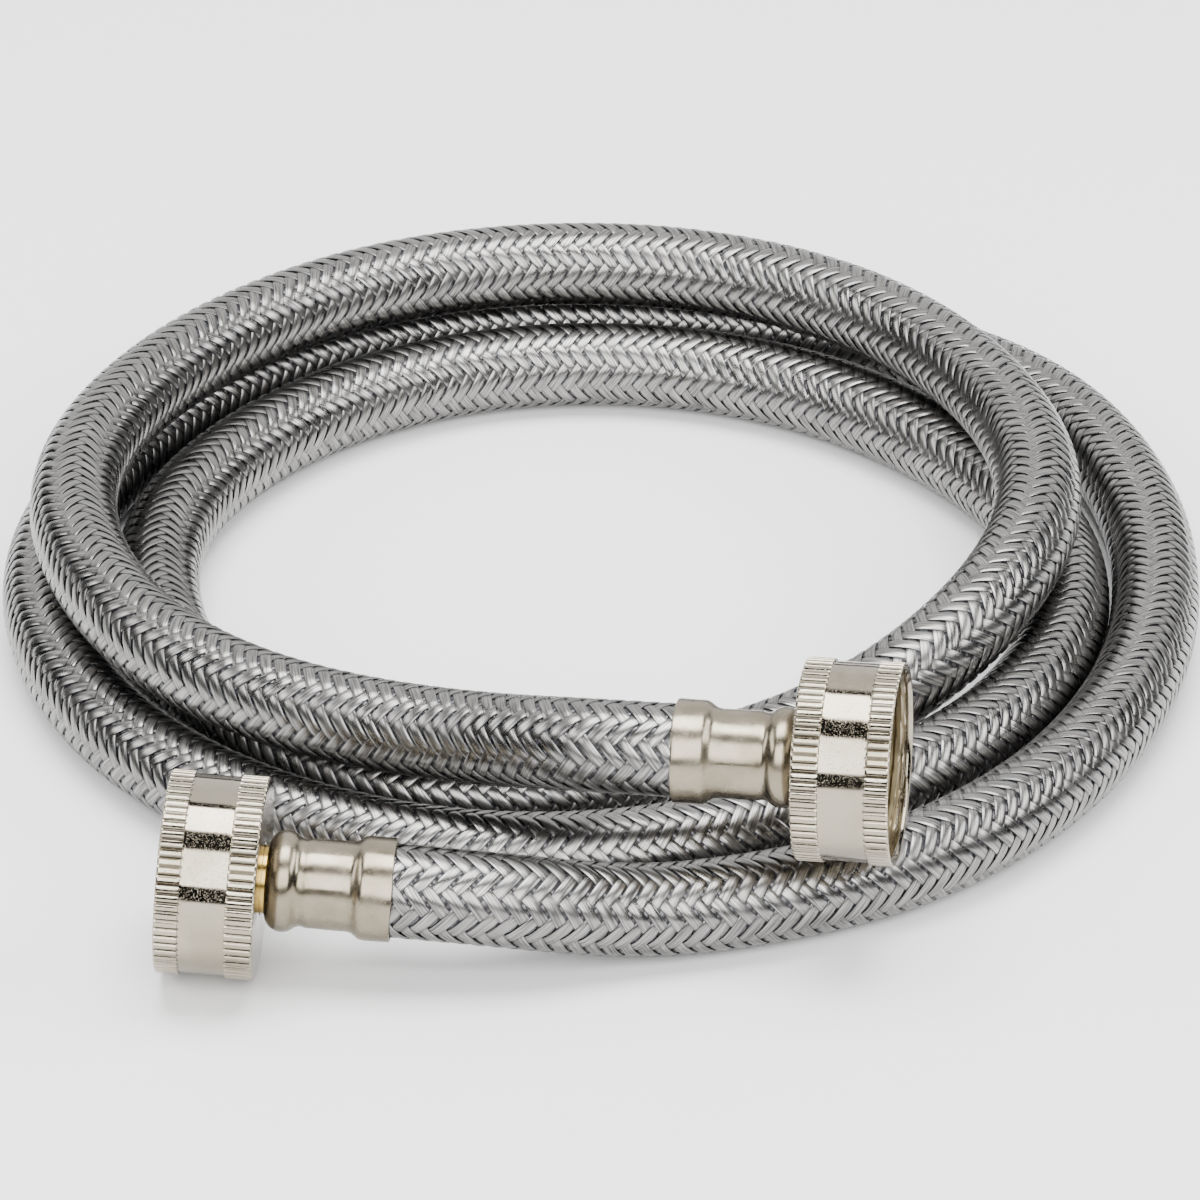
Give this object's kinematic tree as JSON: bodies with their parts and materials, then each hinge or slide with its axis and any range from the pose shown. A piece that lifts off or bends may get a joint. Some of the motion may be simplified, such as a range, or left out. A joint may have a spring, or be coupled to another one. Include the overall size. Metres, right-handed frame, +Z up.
{
  "type": "braided supply hose",
  "caption": "Flexible water supply hose with a woven steel sleeve, crimped ferrules and a knurled swivel nut at each end, lying in a loose coil.",
  "frame": {"origin": "on the surface that the coil lies on, under the middle of the coil's box", "axes": "+Z up, +Y away from the two end fittings, +X to the right with the ends in front"},
  "size_m": [0.184, 0.2066, 0.0438],
  "materials": {
    "liner_rubber": "matte",
    "yarn": "matte",
    "cover_rubber": "matte",
    "braid_steel": "bright woven ribbons",
    "stem_brass": "turned, satin",
    "ferrule_steel": "pressed, satin",
    "washer_rubber": "matte",
    "nut_nickel": "nickel plated, straight knurl"
  },
  "bodies": {
    "hose": {"inner_tube": "liner_rubber", "yarn_layer": "yarn", "tube_cover": "cover_rubber", "steel_braid": "braid_steel", "stem_a": "stem_brass", "stem_b": "stem_brass", "ferrule_a": "ferrule_steel", "ferrule_b": "ferrule_steel"},
    "washer_a": {"washer_a": "washer_rubber"},
    "nut_a": {"nut_a": "nut_nickel"},
    "washer_b": {"washer_b": "washer_rubber"},
    "nut_b": {"nut_b": "nut_nickel"}
  },
  "joints": [
    {"name": "nut_a_slide", "type": "slide", "parent": "hose", "child": "washer_a", "axis": [0.9859, -0.165, 0.0262], "range_m": [0, 0.0015]},
    {"name": "nut_a_turn", "type": "hinge", "parent": "washer_a", "child": "nut_a", "pos_m": [0.0286, -0.0796, 0.0289], "axis": [0.9859, -0.165, 0.0262], "continuous": true},
    {"name": "nut_b_slide", "type": "slide", "parent": "hose", "child": "washer_b", "axis": [-0.9959, 0.0644, 0.0628], "range_m": [-0.0005, 0.001]},
    {"name": "nut_b_turn", "type": "hinge", "parent": "washer_b", "child": "nut_b", "pos_m": [-0.0471, -0.089, 0.0146], "axis": [-0.9959, 0.0644, 0.0628], "continuous": true}
  ]
}
